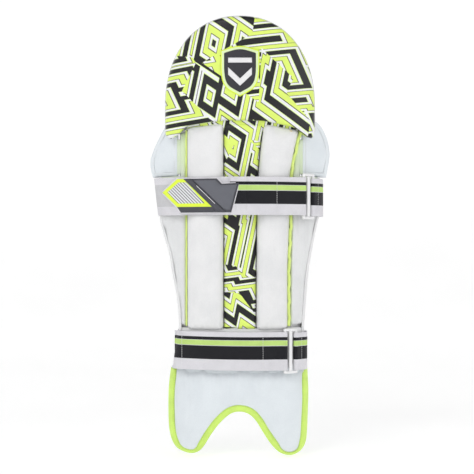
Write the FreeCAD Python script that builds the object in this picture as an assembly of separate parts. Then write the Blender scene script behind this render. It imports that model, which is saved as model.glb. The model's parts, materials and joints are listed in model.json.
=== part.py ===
"""Cricket leg pad, adult size, standing upright as worn. Millimetres, +Z up, front faces -Y.

The origin is on the leg's axis, level with the lowest edge of the instep.
"""
import FreeCAD, Part
import math
import os

V = FreeCAD.Vector

# Bent surfaces: each is an arc in plan whose radius and front line change evenly with height.
# (low z, radius there, y of the inner face there, high z, radius there, y of the inner face there)
SHIN = (132, 138, -62, 550, 172, -78)
INSTEP = (0, 178, -100, 132, 138, -62)
TOP_HAT = (505, 186, -92, 705, 168, -88)

PAD_TOP = 700
ANKLE_SEAM_Z = 133        # the instep hinges just under this
KNEE_SEAM_Z = 524         # top of the shin's front panels
WING_FOOT_Z = 447
SIDE_PANEL_TOP = 494      # below the top hat's corners when it leans back
BOLSTER_FOOT_Z = 203
LAYER_GAP = 0.3

# Layers, measured outwards from the inner face
LINING = (0, 1.6)
BOARD = (1.9, 8.9)
PANEL_BASE = 9.2
PANEL_CROWN = 17
BOLSTER_SIDE = 20
BOLSTER_CROWN = 31
STRIP_SIDE = 18
STRIP_CROWN = 20.5
COVER_WALL = 1.5
FILL_GAP = 0.2
TRIM_WIDTH = 4

# Bolsters: (height, inner edge x, outer edge x)
LEFT_BOLSTER = ((BOLSTER_FOOT_Z, -84, -26.5), (KNEE_SEAM_Z, -84, -26.5))
RIGHT_BOLSTER = ((BOLSTER_FOOT_Z, 26.5, 77), (300, 26.5, 77), (380, 27.5, 80), (450, 29.5, 80.5),
                 (490, 33, 88), (KNEE_SEAM_Z, 38.5, 95))
CENTRE_STRIP = ((BOLSTER_FOOT_Z, -26, 26), (300, -26, 26), (380, -26, 27), (450, -26, 29),
                (490, -26, 32.5), (KNEE_SEAM_Z, -26, 38))
CANE_BEND_Z = 450             # the canes lean with the bolster above this
PIPING_WIDTH = 3.6
CANE_DIAMETER = 7.2
CANES_PER_BOLSTER = 4
CANE_PITCH = 9.5

# Half-outline of the shin board, ankle to knee: (x, z)
LEFT_EDGE = ((-104, 133), (-99, 200), (-102, 247), (-110, 290), (-115, 320), (-125, 355), (-132, 383),
             (-132, 446))
RIGHT_EDGE = ((106, 133), (104, 190), (107, 240), (112, 295), (120, 340), (127, 372), (130, 390),
              (130, 446))
KNEE_PANEL_HALF = 98

# Straps
UPPER_Z = (383, 444)
LOWER_Z = (134, 194)
UPPER_ARC = (157.2, 49.4)     # radius and centre y of the pulled strap in plan
LOWER_ARC = (168.4, 84.5)
WEBBING = (2.9, 5.1)
RING_BAR = 5.0
RING_LINE = 4.0               # bar centres, out from the strap's arc
BAR_CLEARANCE = 0.06
UPPER_BARS = (102.5, 118)
LOWER_BARS = (72.5, 90.5)


def surface_at(surface, z, t):
    """Radius and centre y of a bent surface at height z, t outside its inner face."""
    z0, r0, y0, z1, r1, y1 = surface
    k = (z - z0) / (z1 - z0)
    radius = r0 + k * (r1 - r0)
    return radius + t, y0 + k * (y1 - y0) + radius


def on_arc(radius, centre_y, x, z):
    """The point of a plan arc that faces the front at the given x."""
    return V(x, centre_y - math.sqrt(radius * radius - x * x), z)


def on_surface(surface, x, z, t):
    radius, centre_y = surface_at(surface, z, t)
    return on_arc(radius, centre_y, x, z)


def arc_edge(a, b, c):
    return Part.Arc(a, b, c).toShape()


def sector_wire(surface, z, t0, t1, x0, x1):
    """Ring sector at height z between two offsets and two x positions."""
    mid = (x0 + x1) / 2
    inner = [on_surface(surface, x, z, t0) for x in (x0, mid, x1)]
    outer = [on_surface(surface, x, z, t1) for x in (x1, mid, x0)]
    return Part.Wire([arc_edge(*inner), Part.makeLine(inner[2], outer[0]),
                      arc_edge(*outer), Part.makeLine(outer[2], inner[0])])


def slab(surface, z0, z1, t0, t1, x0=-152, x1=152):
    """Bent sheet between two heights and two offsets."""
    wires = [sector_wire(surface, z, t0, t1, limit(surface, z, t0, x0), limit(surface, z, t0, x1))
             for z in (z0, z1)]
    return Part.makeLoft(wires, True, True)


def limit(surface, z, t, x):
    """Keeps x inside the arc, so that a sheet never runs past its side."""
    widest = 0.93 * surface_at(surface, z, t)[0]
    return max(-widest, min(widest, x))


def crowned_wire(surface, z, x0, x1, t_base, t_side, t_crown):
    """Section of a stuffed panel: bent base, straight sides and a crowned face."""
    mid = (x0 + x1) / 2
    base = [on_surface(surface, x, z, t_base) for x in (x0, mid, x1)]
    face = [on_surface(surface, x1, z, t_side), on_surface(surface, mid, z, t_crown),
            on_surface(surface, x0, z, t_side)]
    return Part.Wire([arc_edge(*base), Part.makeLine(base[2], face[0]),
                      arc_edge(*face), Part.makeLine(face[2], base[0])])


def crowned(surface, stations, t_base, t_side, t_crown):
    wires = [crowned_wire(surface, z, x0, x1, t_base, t_side, t_crown) for z, x0, x1 in stations]
    return Part.makeLoft(wires, True, True)


def inset(stations, by):
    """The same run of stations, smaller by the given amount all round."""
    last = len(stations) - 1
    lift = {0: by, last: -by}
    return [(z + lift.get(i, 0), x0 + by, x1 - by) for i, (z, x0, x1) in enumerate(stations)]


def plate(points):
    """Front-view outline, straight between points, carried right through from front to back."""
    ring = [V(x, -400, z) for x, z in points]
    return Part.Face(Part.makePolygon(ring + ring[:1])).extrude(V(0, 700, 0))


def smaller(points, by):
    """Front-view outline moved inwards, carried right through."""
    ring = [V(x, -400, z) for x, z in points]
    face = Part.Face(Part.makePolygon(ring + ring[:1]))
    return face.makeOffset2D(-by, 2).extrude(V(0, 700, 0))


def cover_and_fill(surface, stations, t_base, t_side, t_crown):
    """A hollow cover and the filling inside it; the crown may face the front or the leg."""
    outer = crowned(surface, stations, t_base, t_side, t_crown)
    cores = []
    for step in (COVER_WALL, COVER_WALL + FILL_GAP):
        skin = math.copysign(step, t_crown - t_base)
        cores.append(crowned(surface, inset(stations, step), t_base + skin, t_side - skin, t_crown - skin))
    return outer.cut(cores[0]), cores[1]


def save(name, shape):
    shape = shape.removeSplitter() if len(shape.Solids) == 1 else shape
    shape.exportStep("parts/%s.step" % name)
    print("%-28s solids %d volume %9.0f valid %s" % (name, len(shape.Solids), shape.Volume,
                                                   shape.isValid()))


def group(shapes):
    return Part.makeCompound(shapes)


# ---------------------------------------------------------------- shin

def shin_outline():
    """Shin board: the two edges, then the narrower knee panel that rises behind the top hat."""
    knee = [(KNEE_PANEL_HALF, 446), (KNEE_PANEL_HALF, KNEE_SEAM_Z)]
    return list(RIGHT_EDGE) + knee + [(-x, z) for x, z in reversed(knee)] + list(reversed(LEFT_EDGE))


def make_shin():
    outline = shin_outline()
    inner = smaller(outline, TRIM_WIDTH)
    save("shin_lining", slab(SHIN, 120, 540, *LINING).common(inner))
    save("shin_board_foam", slab(SHIN, 120, 540, *BOARD).common(inner))
    trim = plate(outline).cut(smaller(outline, TRIM_WIDTH - LAYER_GAP))
    thick = slab(SHIN, 120, WING_FOOT_Z, -1, PANEL_CROWN + 0.5)
    thin = slab(SHIN, WING_FOOT_Z, 540, -1, PANEL_BASE)
    save("shin_edge_binding", thick.fuse(thin).common(trim))


def make_side_panels():
    """Flat padded panels outside the bolsters, cut to the shin's outline."""
    outline = shin_outline()
    steps = (0.0, COVER_WALL, COVER_WALL + FILL_GAP)
    trims = [smaller(outline, TRIM_WIDTH + step) for step in steps]
    room = PIPING_WIDTH + 2 * LAYER_GAP
    left = [(z, -150, x0 - room) for z, x0, x1 in LEFT_BOLSTER]
    right = [(z, x1 + room, 150) for z, x0, x1 in RIGHT_BOLSTER]
    for side, stations in (("left", left), ("right", right)):
        layers = []
        for step, trim in zip(steps, trims):
            sheet = slab(SHIN, BOLSTER_FOOT_Z + step, SIDE_PANEL_TOP - step, PANEL_BASE + step,
                         PANEL_CROWN - step)
            layers.append(sheet.common(side_region(stations, step)).common(trim))
        save(side + "_side_panel_cover", layers[0].cut(layers[1]))
        save(side + "_side_panel_foam", layers[2])


def side_region(stations, by):
    """Front-view region between a bolster's piping and the far side."""
    left = [(x0 + by, z) for z, x0, x1 in stations]
    right = [(x1 - by, z) for z, x0, x1 in stations]
    return plate(left + right[::-1])


def make_bolster(side, stations):
    """Front bolster: a cover round two foam layers with a row of canes between them."""
    cover, fill = cover_and_fill(SHIN, stations, PANEL_BASE, BOLSTER_SIDE, BOLSTER_CROWN)
    save(side + "_bolster_cover", cover)
    cane_t = 19.0
    half = CANE_DIAMETER / 2 + 0.6
    low, high = BOLSTER_FOOT_Z - 5, KNEE_SEAM_Z + 5
    save(side + "_bolster_back_foam", fill.common(slab(SHIN, low, high, 0, cane_t - half)))
    save(side + "_bolster_front_foam", fill.common(slab(SHIN, low, high, cane_t + half, 45)))
    bend = [station for station in stations if station[0] == CANE_BEND_Z]
    run = [stations[0]] + bend + [stations[-1]]
    heights = [run[0][0] + 5] + [CANE_BEND_Z] * len(bend) + [run[-1][0] - 5]
    canes = []
    for i in range(CANES_PER_BOLSTER):
        shift = (i - (CANES_PER_BOLSTER - 1) / 2) * CANE_PITCH
        path = [on_surface(SHIN, (x0 + x1) / 2 + shift, height, cane_t)
                for (z, x0, x1), height in zip(run, heights)]
        canes.append(rod(path, CANE_DIAMETER / 2))
    save(side + "_bolster_canes", group(canes))


def rod(path, radius):
    """Round rod along straight runs, with a ball at each bend."""
    runs = [Part.makeCylinder(radius, (b - a).Length, a, b - a) for a, b in zip(path, path[1:])]
    balls = [Part.makeSphere(radius, point) for point in path[1:-1]]
    return runs[0].fuse(runs[1:] + balls) if balls else runs[0]


def make_piping():
    """Round-faced cords sewn in the seams outside the bolsters."""
    near, far = LAYER_GAP, LAYER_GAP + PIPING_WIDTH
    left = [(z, x0 - far, x0 - near) for z, x0, x1 in LEFT_BOLSTER]
    right = [(z, x1 + near, x1 + far) for z, x0, x1 in RIGHT_BOLSTER]
    save("left_piping", crowned(SHIN, left, PANEL_BASE, 17, 18.6))
    save("right_piping", crowned(SHIN, right, PANEL_BASE, 17, 18.6))


def make_centre_strip():
    stations = [(z, x0 + LAYER_GAP, x1 - LAYER_GAP) for z, x0, x1 in CENTRE_STRIP]
    cover, fill = cover_and_fill(SHIN, stations, PANEL_BASE, STRIP_SIDE, STRIP_CROWN)
    save("centre_strip_cover", cover)
    save("centre_strip_foam", fill)


def make_ankle_panel():
    """Padded panel across the foot of the shin, under the lower strap."""
    outline = shin_outline()
    top = BOLSTER_FOOT_Z - 0.5
    parts = []
    for step in (0.0, COVER_WALL, COVER_WALL + FILL_GAP):
        sheet = slab(SHIN, ANKLE_SEAM_Z + step, top - step, PANEL_BASE + step, PANEL_CROWN - step)
        parts.append(sheet.common(smaller(outline, TRIM_WIDTH + step)))
    save("ankle_panel_cover", parts[0].cut(parts[1]))
    save("ankle_panel_foam", parts[2])


def make_inner_padding():
    """Three upright bolsters against the shin and three rolls round the knee, on the leg's side."""
    foams = []
    for name, x0, x1 in (("left", -72, -28), ("centre", -20, 20), ("right", 28, 72)):
        cover, fill = cover_and_fill(SHIN, [(206, x0, x1), (372, x0 * 1.12, x1 * 1.12)],
                                     -0.3, -7, -13)
        save("inner_%s_bolster_cover" % name, cover)
        foams.append(fill)
    save("inner_bolster_foams", group(foams))
    foams = []
    for name, z in (("lower", 392), ("middle", 434), ("upper", 476)):
        outer = knee_roll(z, 0)
        save("knee_roll_%s_cover" % name, outer.cut(knee_roll(z, 1.5)))
        foams.append(knee_roll(z, 1.7))
    save("knee_roll_foams", group(foams))


def knee_roll(z, by):
    """One horizontal roll, 38 mm tall, curved round the knee."""
    sheet = slab(SHIN, z + by, z + 38 - by, -13 + by, -0.3 - by, -88 + by, 88 - by)
    return sheet


# ---------------------------------------------------------------- top hat

def dome(by):
    """Top hat seen from the front: straight sides, a superellipse head, notched over the bolsters."""
    half = 121
    centre_z = 560
    rise = PAD_TOP - centre_z
    power = 2 / 2.2
    head = []
    for i in range(25):
        a = math.pi * i / 24
        x = math.copysign(abs(math.cos(a)) ** power, math.cos(a)) * half
        head.append((x, centre_z + rise * math.sin(a) ** power))
    notch = KNEE_SEAM_Z + 7
    corner = [(-121, 516), (-113, 508.5), (-91, 508.5), (-91, notch)]
    other = [(102, notch), (102, 508.5), (113, 508.5), (121, 516)]
    return smaller(head + corner + other, by) if by else plate(head + corner + other)


def make_top_hat():
    rim = 3
    inner = dome(rim)
    save("top_hat_lining", slab(TOP_HAT, 500, 705, 2.6, 4).common(inner))
    save("top_hat_foam", slab(TOP_HAT, 500, 705, 4.3, 14.3).common(inner))
    save("top_hat_cover", slab(TOP_HAT, 500, 705, 14.6, 16).common(inner))
    save("top_hat_rim", slab(TOP_HAT, 500, 705, 2, 16.4).common(dome(0).cut(dome(rim - LAYER_GAP))))
    badge = [(0, 571), (28, 590), (31, 645), (0, 652), (-31, 645), (-28, 590)]
    save("top_hat_badge", slab(TOP_HAT, 500, 705, 16.3, 18.3).common(plate(badge)))


# ---------------------------------------------------------------- wings

LEFT_WING = ((-101, WING_FOOT_Z), (-143, WING_FOOT_Z), (-147, 463), (-147, 475), (-142, 490), (-135, 504),
             (-125, 522), (-116, 538), (-101, 541))
RIGHT_WING = ((101, WING_FOOT_Z), (142, WING_FOOT_Z), (146, 468), (148, 488), (143, 511), (131, 531),
              (117, 541), (101, 541))


def make_wing(side, outline):
    trim = 9
    ring = list(outline)
    inner = smaller(ring, trim)
    save(side + "_wing_foam", slab(SHIN, 440, 545, 0.5, 8.5).common(inner))
    save(side + "_wing_face", slab(SHIN, 440, 545, 8.8, 10.2).common(inner))
    edge = plate(ring).cut(smaller(ring, trim - LAYER_GAP))
    save(side + "_wing_binding", slab(SHIN, 440, 545, 0, 10.6).common(edge))


# ---------------------------------------------------------------- instep

INSTEP_TOP = 130.5


def instep_outline(top):
    """Two rounded lobes with a notch between them for the laces."""
    right = [(110, top), (111, 99), (109, 60), (106, 23), (100, 9.5), (92, 2.5), (78, 0), (62, 6),
             (50, 17.5), (38, 35), (27, 53), (15, 65)]
    left = [(-18, 65), (-34, 50), (-47, 33), (-58, 15), (-67, 6), (-79, 3), (-95, 6.5), (-105, 14),
            (-112, 29), (-115, 52), (-116, 99), (-112, top)]
    return right + [(0, 69.5)] + left


def make_instep():
    """Flap below the ankle seam; the binding runs down its sides and round the lobes."""
    trim = 9.6
    tall = instep_outline(INSTEP_TOP + trim)
    inner = smaller(tall, trim)
    save("instep_lining", slab(INSTEP, -5, 140, 0, 1.4).common(inner))
    save("instep_foam", slab(INSTEP, -5, 140, 1.8, 8.5).common(inner))
    save("instep_face", slab(INSTEP, -5, 140, 9, 10.4).common(inner))
    edge = plate(instep_outline(INSTEP_TOP)).cut(smaller(tall, trim - LAYER_GAP))
    save("instep_binding", slab(INSTEP, -5, 140, -0.5, 11).common(edge))


# ---------------------------------------------------------------- straps

def ribbon(arc, z_range, d0, d1, x0, x1):
    """Strap that follows its plan arc, between two offsets and two x positions."""
    radius, centre_y = arc
    mid = (x0 + x1) / 2
    inner = [on_arc(radius + d0, centre_y, x, z_range[0]) for x in (x0, mid, x1)]
    outer = [on_arc(radius + d1, centre_y, x, z_range[0]) for x in (x1, mid, x0)]
    wire = Part.Wire([arc_edge(*inner), Part.makeLine(inner[2], outer[0]),
                      arc_edge(*outer), Part.makeLine(outer[2], inner[0])])
    return Part.Face(wire).extrude(V(0, 0, z_range[1] - z_range[0]))


def band(points, thickness, z_range):
    """Strap folded along straight runs, round at its corners."""
    z0, tall = z_range[0], z_range[1] - z_range[0]
    pieces = []
    for a, b in zip(points, points[1:]):
        run = V(b[0] - a[0], b[1] - a[1], 0)
        side = V(-run.y, run.x, 0).normalize() * (thickness / 2)
        start = V(a[0], a[1], z0)
        ring = [start + side, start - side, start - side + run, start + side + run]
        pieces.append(Part.Face(Part.makePolygon(ring + ring[:1])).extrude(V(0, 0, tall)))
    for x, y in points:
        pieces.append(Part.makeCylinder(thickness / 2, tall, V(x, y, z0)))
    return pieces[0].fuse(pieces[1:]).removeSplitter()


def bar_centre(arc, x):
    point = on_arc(arc[0] + RING_LINE, arc[1], x, 0)
    return (point.x, point.y)


def make_ring(name, arc, bars, z_range):
    """Moulded four-bar ring: two upright round bars, joined at the head and the foot."""
    a, b = [bar_centre(arc, x) for x in bars]
    low, high = z_range[0] - 4, z_range[1] + 4
    radius = RING_BAR / 2
    posts = [Part.makeCylinder(radius, high - low, V(x, y, low)) for x, y in (a, b)]
    run = V(b[0] - a[0], b[1] - a[1], 0)
    ends = [Part.makeCylinder(radius, run.Length, V(a[0], a[1], z), run) for z in (low, high)]
    balls = [Part.makeSphere(radius, V(x, y, z)) for x, y in (a, b) for z in (low, high)]
    save(name, posts[0].fuse(posts[1:] + ends + balls).removeSplitter())


def eye(centre, z_range):
    """The round loop that a strap makes where it turns about a ring's bar."""
    tall = z_range[1] - z_range[0]
    base = V(centre[0], centre[1], z_range[0])
    bore = RING_BAR / 2 + BAR_CLEARANCE
    return Part.makeCylinder(bore + 1.5, tall, base), Part.makeCylinder(bore, tall, base)


def make_anchor(name, arc, bar_x, sewn, z_range):
    """Webbing tab sewn to the pad's right edge, with the ring's outer bar in its loop."""
    centre = bar_centre(arc, bar_x)
    solid, bore = eye(centre, z_range)
    tail = band([centre] + sewn, 2.4, z_range)
    save(name, solid.fuse(tail).cut(bore).removeSplitter())


def make_webbing(name, arc, bar_x, far_x, z_range, extra=None):
    """Elastic webbing with a loop about the ring's inner bar."""
    centre = bar_centre(arc, bar_x)
    solid, bore = eye(centre, z_range)
    strap = ribbon(arc, z_range, WEBBING[0], WEBBING[1], far_x, bar_x)
    pieces = [strap] + ([extra] if extra is not None else [])
    save(name, solid.fuse(pieces).cut(bore).removeSplitter())


def make_upper_strap():
    make_ring("upper_ring", UPPER_ARC, UPPER_BARS, UPPER_Z)
    sewn = [(134, -37.5), (134.5, 5), (113, -16.5)]
    make_anchor("upper_anchor_tab", UPPER_ARC, UPPER_BARS[1], sewn, UPPER_Z)
    make_webbing("upper_webbing", UPPER_ARC, UPPER_BARS[0], 2, UPPER_Z)
    front = ribbon(UPPER_ARC, UPPER_Z, 0, 1.5, -130, 60)
    corner = on_arc(UPPER_ARC[0] + 0.75, UPPER_ARC[1], -130, 0)
    wrap = band([(corner.x, corner.y), (-136.5, -33), (-136.5, 7), (-113, -16)], 1.5, UPPER_Z)
    save("upper_landing_band", front.fuse(wrap).removeSplitter())
    shape = [(-126, 420), (-101, 396), (-95, 387), (-14, 387), (-1.5, 434), (-29, 432.5), (-37, 441),
             (-101, 441)]
    patch = ribbon(UPPER_ARC, UPPER_Z, 1.8, 2.6, -130, -14)
    save("upper_hook_patch", patch.common(smaller(shape, 3)))
    tab = ribbon(UPPER_ARC, UPPER_Z, WEBBING[0], WEBBING[1], -130, 1.6)
    end = ribbon(UPPER_ARC, UPPER_Z, WEBBING[0], WEBBING[1], -20, 1.6)
    save("upper_hook_tab", tab.common(smaller(shape, -1.8)).fuse(end))
    badge = ribbon(UPPER_ARC, UPPER_Z, 5.4, 7.2, -130, 0)
    save("upper_badge", badge.common(plate(shape)))


def make_lower_strap():
    make_ring("lower_ring", LOWER_ARC, LOWER_BARS, LOWER_Z)
    sewn = [(108.8, -45.5), (108.8, -6), (92, -21)]
    make_anchor("lower_anchor_tab", LOWER_ARC, LOWER_BARS[1], sewn, LOWER_Z)
    corner = on_arc(LOWER_ARC[0] + 4, LOWER_ARC[1], -99, 0)
    wrap = band([(corner.x, corner.y), (-107, -44), (-107, -12)], 2.2, LOWER_Z)
    make_webbing("lower_webbing", LOWER_ARC, LOWER_BARS[0], -99, LOWER_Z, wrap)
    tab = [(-107, -8.5), (-96, -18.6), (-84, -29), (-68, -39.5), (-52, -47.3)]
    save("lower_hook_tab", band(tab, 2.2, LOWER_Z))
    save("lower_loop_patch", slab(SHIN, LOWER_Z[0] + TRIM_WIDTH, LOWER_Z[1], -1.6, -0.3, -92, -40))


def main():
    os.makedirs("parts", exist_ok=True)
    make_shin()
    make_side_panels()
    make_bolster("left", LEFT_BOLSTER)
    make_bolster("right", RIGHT_BOLSTER)
    make_piping()
    make_centre_strip()
    make_ankle_panel()
    make_inner_padding()
    make_top_hat()
    make_wing("left", LEFT_WING)
    make_wing("right", RIGHT_WING)
    make_instep()
    make_upper_strap()
    make_lower_strap()


main()
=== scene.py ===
"""Cricket leg pad: the looks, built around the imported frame. Outlines are in millimetres in the front
view (x, z); a piece's depth is its offset t from the leg's side of one of the pad's bent surfaces."""

import json
import math

import bmesh
import bpy
import numpy as np
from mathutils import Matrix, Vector
from mathutils.geometry import delaunay_2d_cdt


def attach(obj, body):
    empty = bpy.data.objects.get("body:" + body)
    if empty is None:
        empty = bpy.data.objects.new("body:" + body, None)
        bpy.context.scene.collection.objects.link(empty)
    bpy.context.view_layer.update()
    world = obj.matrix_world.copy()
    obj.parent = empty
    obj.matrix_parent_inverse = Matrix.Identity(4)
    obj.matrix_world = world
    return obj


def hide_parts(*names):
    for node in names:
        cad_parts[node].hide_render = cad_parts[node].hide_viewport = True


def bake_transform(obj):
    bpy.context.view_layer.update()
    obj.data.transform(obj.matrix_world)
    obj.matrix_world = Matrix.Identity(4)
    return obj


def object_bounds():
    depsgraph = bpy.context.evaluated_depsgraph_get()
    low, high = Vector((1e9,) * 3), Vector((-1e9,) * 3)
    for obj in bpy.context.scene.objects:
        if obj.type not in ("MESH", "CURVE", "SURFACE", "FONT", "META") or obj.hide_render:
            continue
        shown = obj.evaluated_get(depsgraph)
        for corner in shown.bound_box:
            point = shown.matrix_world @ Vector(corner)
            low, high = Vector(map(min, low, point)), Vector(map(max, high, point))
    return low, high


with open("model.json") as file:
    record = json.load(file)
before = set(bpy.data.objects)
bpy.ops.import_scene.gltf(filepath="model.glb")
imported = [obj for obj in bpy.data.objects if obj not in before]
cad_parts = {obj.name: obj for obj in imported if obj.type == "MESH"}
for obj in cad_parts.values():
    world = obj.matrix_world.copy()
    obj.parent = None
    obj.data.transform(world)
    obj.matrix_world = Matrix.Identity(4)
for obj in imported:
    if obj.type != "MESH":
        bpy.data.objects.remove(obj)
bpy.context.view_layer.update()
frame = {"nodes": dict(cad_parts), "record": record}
MM = 0.001
TURN = 6.283            # radians in a full turn

# The pad's three bent surfaces: low z, radius, y of the leg's side, high z, radius, y of the leg's side
SHIN = (132, 138, -62, 550, 172, -78)
INSTEP = (0, 178, -100, 132, 138, -62)
TOP_HAT = (505, 186, -92, 705, 168, -88)
# The arcs that the straps lie on: radius and centre y
UPPER_ARC = (157.2, 49.4)
LOWER_ARC = (168.4, 84.5)
ON_BOARD = 9.3          # the back of every cushion that lies on the shin board
INNER = (-13.2, 0.4, -1.0)      # back, face and edge of the inner padding


# ---------------------------------------------------------------- shapes

def radius_and_centre(surface, z, t):
    z0, r0, y0, z1, r1, y1 = surface
    k = (z - z0) / (z1 - z0)
    radius = r0 + k * (r1 - r0)
    return radius + t, y0 + k * (y1 - y0) + radius


def place(surface, x, z, t):
    """Points in metres for arrays of x, z and offset t."""
    x, z, t = np.broadcast_arrays(np.asarray(x, float), np.asarray(z, float), np.asarray(t, float))
    if len(surface) == 2:
        r, cy = surface[0] + t, surface[1]
    else:
        r, cy = radius_and_centre(surface, z, t)
    y = cy - np.sqrt(np.maximum(r * r - x * x, 1.0))
    return np.stack([x, y, z], axis=-1) * MM


def smooth(points, step=3.0, closed=True, sharp=()):
    """Curve through the points at an even step. Points whose index is in sharp stay corners."""
    pts = [np.array(p, float) for p in points]
    n = len(pts)
    out = []
    for i in range(n if closed else n - 1):
        a, b = pts[i], pts[(i + 1) % n]
        before = pts[(i - 1) % n] if closed or i > 0 else a
        after = pts[(i + 2) % n] if closed or i + 2 < n else b
        m0 = (b - a) if i in sharp else (b - before) / 2
        m1 = (b - a) if (i + 1) % n in sharp else (after - a) / 2
        count = max(2, int(np.linalg.norm(b - a) / step))
        for k in range(count):
            s = k / count
            h = (2 * s**3 - 3 * s**2 + 1, s**3 - 2 * s**2 + s, -2 * s**3 + 3 * s**2, s**3 - s**2)
            out.append(h[0] * a + h[1] * m0 + h[2] * b + h[3] * m1)
    if not closed:
        out.append(pts[-1])
    return np.array(out)


def rounded(points, corner):
    """Closed outline with every corner rounded off, at most corner away from its vertex."""
    pts = [np.array(p, float) for p in points]
    out = []
    for i, p in enumerate(pts):
        ends = []
        for other in (pts[i - 1], pts[(i + 1) % len(pts)]):
            reach = np.linalg.norm(other - p)
            ends.append(p + (other - p) / reach * min(corner, 0.45 * reach))
        for k in range(7):
            s = k / 6
            out.append((1 - s) ** 2 * ends[0] + 2 * s * (1 - s) * p + s * s * ends[1])
    return resample(out, 3.0)


def box(x0, x1, z0, z1):
    return [(x0, z0), (x1, z0), (x1, z1), (x0, z1)]


def resample(points, step, closed=True):
    """The same outline at an even step, so that long straight stretches have points too."""
    line = np.array(points, float)
    ends = np.roll(line, -1, axis=0) if closed else line[1:]
    out = []
    for a, b in zip(line, ends):
        count = max(1, int(round(np.linalg.norm(b - a) / step)))
        out += [a + (b - a) * k / count for k in range(count)]
    return np.array(out if closed else out + [line[-1]])


def signed_area(ring):
    x, z = ring[:, 0], ring[:, 1]
    return 0.5 * float(np.sum(x * np.roll(z, -1) - np.roll(x, -1) * z))


def inward(ring):
    """Unit vectors pointing into a closed ring."""
    along = np.roll(ring, -1, axis=0) - np.roll(ring, 1, axis=0)
    along /= np.maximum(np.linalg.norm(along, axis=1, keepdims=True), 1e-9)
    turn = 1 if signed_area(ring) > 0 else -1
    return np.stack([-along[:, 1], along[:, 0]], axis=1) * turn


def depth(points, ring):
    """Distance from each point to the ring."""
    a = ring
    ab = np.roll(ring, -1, axis=0) - ring
    best = np.full(len(points), 1e9)
    for i in range(len(a)):
        ap = points - a[i]
        s = np.clip((ap @ ab[i]) / max(float(ab[i] @ ab[i]), 1e-12), 0, 1)
        best = np.minimum(best, np.linalg.norm(ap - s[:, None] * ab[i], axis=1))
    return best


def inside(points, ring):
    x, z = points[:, 0], points[:, 1]
    hit = np.zeros(len(points), bool)
    for a, b in zip(ring, np.roll(ring, -1, axis=0)):
        if a[1] == b[1]:
            continue
        crosses = (a[1] > z) != (b[1] > z)
        hit ^= crosses & (x < (b[0] - a[0]) * (z - a[1]) / (b[1] - a[1]) + a[0])
    return hit


def fill(ring, spacing):
    """Triangles over a closed outline, with closer rows beside its edge."""
    rows = [ring]
    for d in (0.6, 1.6, 3.2, 5.4):
        row = ring + inward(ring) * d
        keep = inside(row, ring) & (depth(row, ring) > 0.93 * d)
        rows.append(row[keep])
    low, high = ring.min(axis=0), ring.max(axis=0)
    gx = np.arange(low[0], high[0], spacing)
    gz = np.arange(low[1], high[1], spacing)
    grid = np.stack(np.meshgrid(gx, gz), axis=-1).reshape(-1, 2)
    grid[:, 0] += (np.round((grid[:, 1] - low[1]) / spacing) % 2) * spacing / 2
    keep = inside(grid, ring)
    grid = grid[keep]
    rows.append(grid[depth(grid, ring) > 5.4 + spacing * 0.4])
    points = np.concatenate(rows)
    n = len(ring)
    edges = [(i, (i + 1) % n) for i in range(n)]
    flat = [Vector((float(x), float(z))) for x, z in points]
    verts, _, faces, _, _, _ = delaunay_2d_cdt(flat, edges, [], 1, 1e-6)
    return np.array([(v.x, v.y) for v in verts]), [list(f) for f in faces]


def make_mesh(name, points, faces, materials, face_slots=None):
    mesh = bpy.data.meshes.new(name)
    mesh.from_pydata([tuple(p) for p in points], [], faces)
    for m in materials:
        mesh.materials.append(m)
    if face_slots is not None:
        mesh.polygons.foreach_set("material_index", np.array(face_slots, np.int32))
    mesh.polygons.foreach_set("use_smooth", np.ones(len(mesh.polygons), bool))
    mesh.update()
    obj = bpy.data.objects.new(name, mesh)
    bpy.context.collection.objects.link(obj)
    return obj


def pillow(name, ring, surface, back, face, edge, front_mat, back_mat, spacing=4.0, roll=8.0,
           power=2.4, relief=None, back_relief=None):
    """Closed padded form: two sheets that meet round the outline and swell within roll of it.
    back, edge and face are offsets; relief adds to the face as a function of x and z."""
    pts, tris = fill(ring, spacing)
    d = depth(pts, ring)
    s = 1 - np.clip(d / roll, 0, 1)
    swell = (1 - s**power) ** (1 / power)
    x, z = pts[:, 0], pts[:, 1]
    front_t = edge + (face - edge) * swell
    back_t = edge + (back - edge) * swell
    if relief is not None:
        front_t = front_t + relief(x, z) * swell
    if back_relief is not None:
        back_t = back_t + back_relief(x, z) * swell
    n = len(pts)
    rim = d < 1e-4
    index = np.where(rim, np.arange(n), np.arange(n) + n)
    points = np.concatenate([place(surface, x, z, front_t), place(surface, x, z, back_t)])
    fronts, backs = [], []
    for f in tris:
        a = pts[f]
        area = (a[1, 0] - a[0, 0]) * (a[2, 1] - a[0, 1]) - (a[2, 0] - a[0, 0]) * (a[1, 1] - a[0, 1])
        turn = f if area > 0 else f[::-1]
        fronts.append(turn)
        backs.append([int(index[i]) for i in turn[::-1]])
    faces = fronts + backs
    used = np.zeros(2 * n, bool)
    for f in faces:
        used[f] = True
    remap = np.cumsum(used) - 1
    faces = [[int(remap[i]) for i in f] for f in faces]
    slots = [0] * len(fronts) + [1] * len(backs)
    return make_mesh(name, points[used], faces, [front_mat, back_mat], slots)


def outward(obj):
    """Turns every face of a closed mesh to point out."""
    bm = bmesh.new()
    bm.from_mesh(obj.data)
    bmesh.ops.recalc_face_normals(bm, faces=bm.faces)
    bm.to_mesh(obj.data)
    bm.free()
    return obj


def swept(name, rows, mat, loop=False):
    """Closed form through rows of points, one row for each corner of its section. A loop has no ends."""
    m, n = len(rows), len(rows[0])
    faces = []
    for k in range(m):
        a, b = k * n, (k + 1) % m * n
        for i in range(n if loop else n - 1):
            j = (i + 1) % n
            faces.append([a + i, a + j, b + j, b + i])
    if not loop:
        faces.append([k * n for k in range(m)])
        faces.append([k * n + n - 1 for k in range(m)][::-1])
    return outward(make_mesh(name, np.concatenate(rows), faces, [mat]))


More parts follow.
